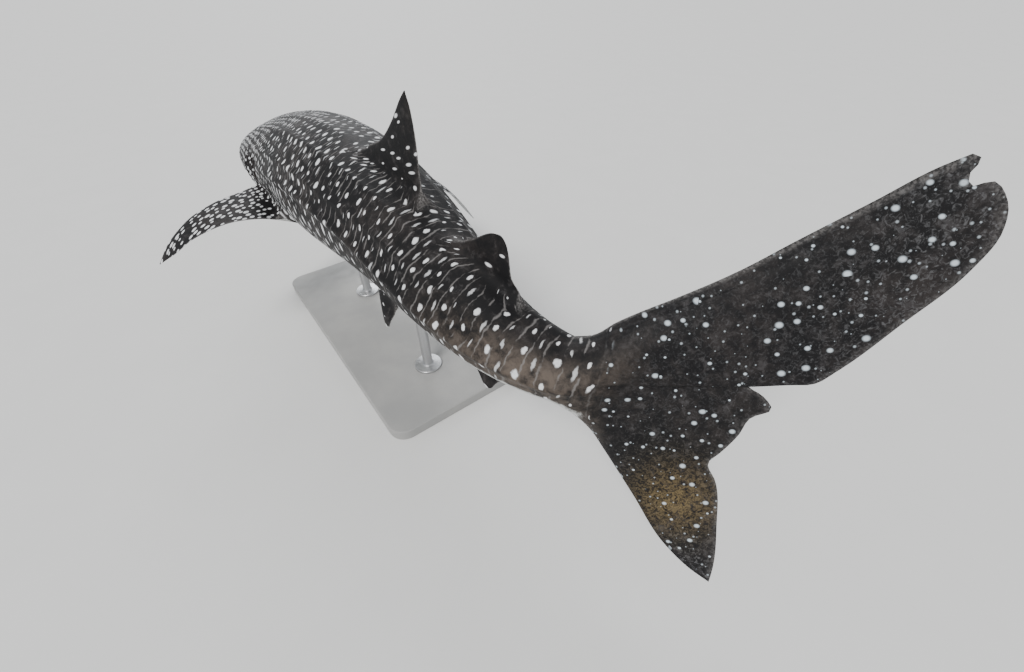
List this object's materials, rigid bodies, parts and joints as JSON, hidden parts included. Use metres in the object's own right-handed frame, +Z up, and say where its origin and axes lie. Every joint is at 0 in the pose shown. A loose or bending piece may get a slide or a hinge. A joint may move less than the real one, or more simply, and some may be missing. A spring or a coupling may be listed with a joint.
{
  "type": "whale shark display model",
  "caption": "Life-size still model of a swimming whale shark, spotted dark back and pale belly, tail swept aside, on a flat base with upright rods.",
  "frame": {"origin": "centre of the underside of the stand's base, on the floor under the body", "axes": "+X the swimming direction at mid body, +Y the animal's left, +Z up"},
  "size_m": [7.4687, 3.591, 2.9409],
  "materials": {
    "skin": "matt to satin painted skin, near-black charcoal brown with white spots and thin pale bars, white below",
    "eye": "glossy dark eye with a dark grey-brown iris",
    "stand_plate": "satin pale grey paint",
    "stand_metal": "brushed"
  },
  "bodies": {
    "root": {"head": "skin", "gill_region": "skin", "trunk_front": "skin", "trunk_middle": "skin", "trunk_rear": "skin", "tail_stalk": "skin", "first_dorsal_fin": "skin", "second_dorsal_fin": "skin", "anal_fin": "skin", "pectoral_fin_left": "skin", "pectoral_fin_right": "skin", "pelvic_fin_left": "skin", "pelvic_fin_right": "skin", "caudal_upper_lobe": "skin", "caudal_lower_lobe": "skin", "eye_left": "eye", "eye_right": "eye", "stand_base": "stand_plate", "stand_rod_front": "stand_metal", "stand_rod_rear": "stand_metal"}
  },
  "joints": []
}
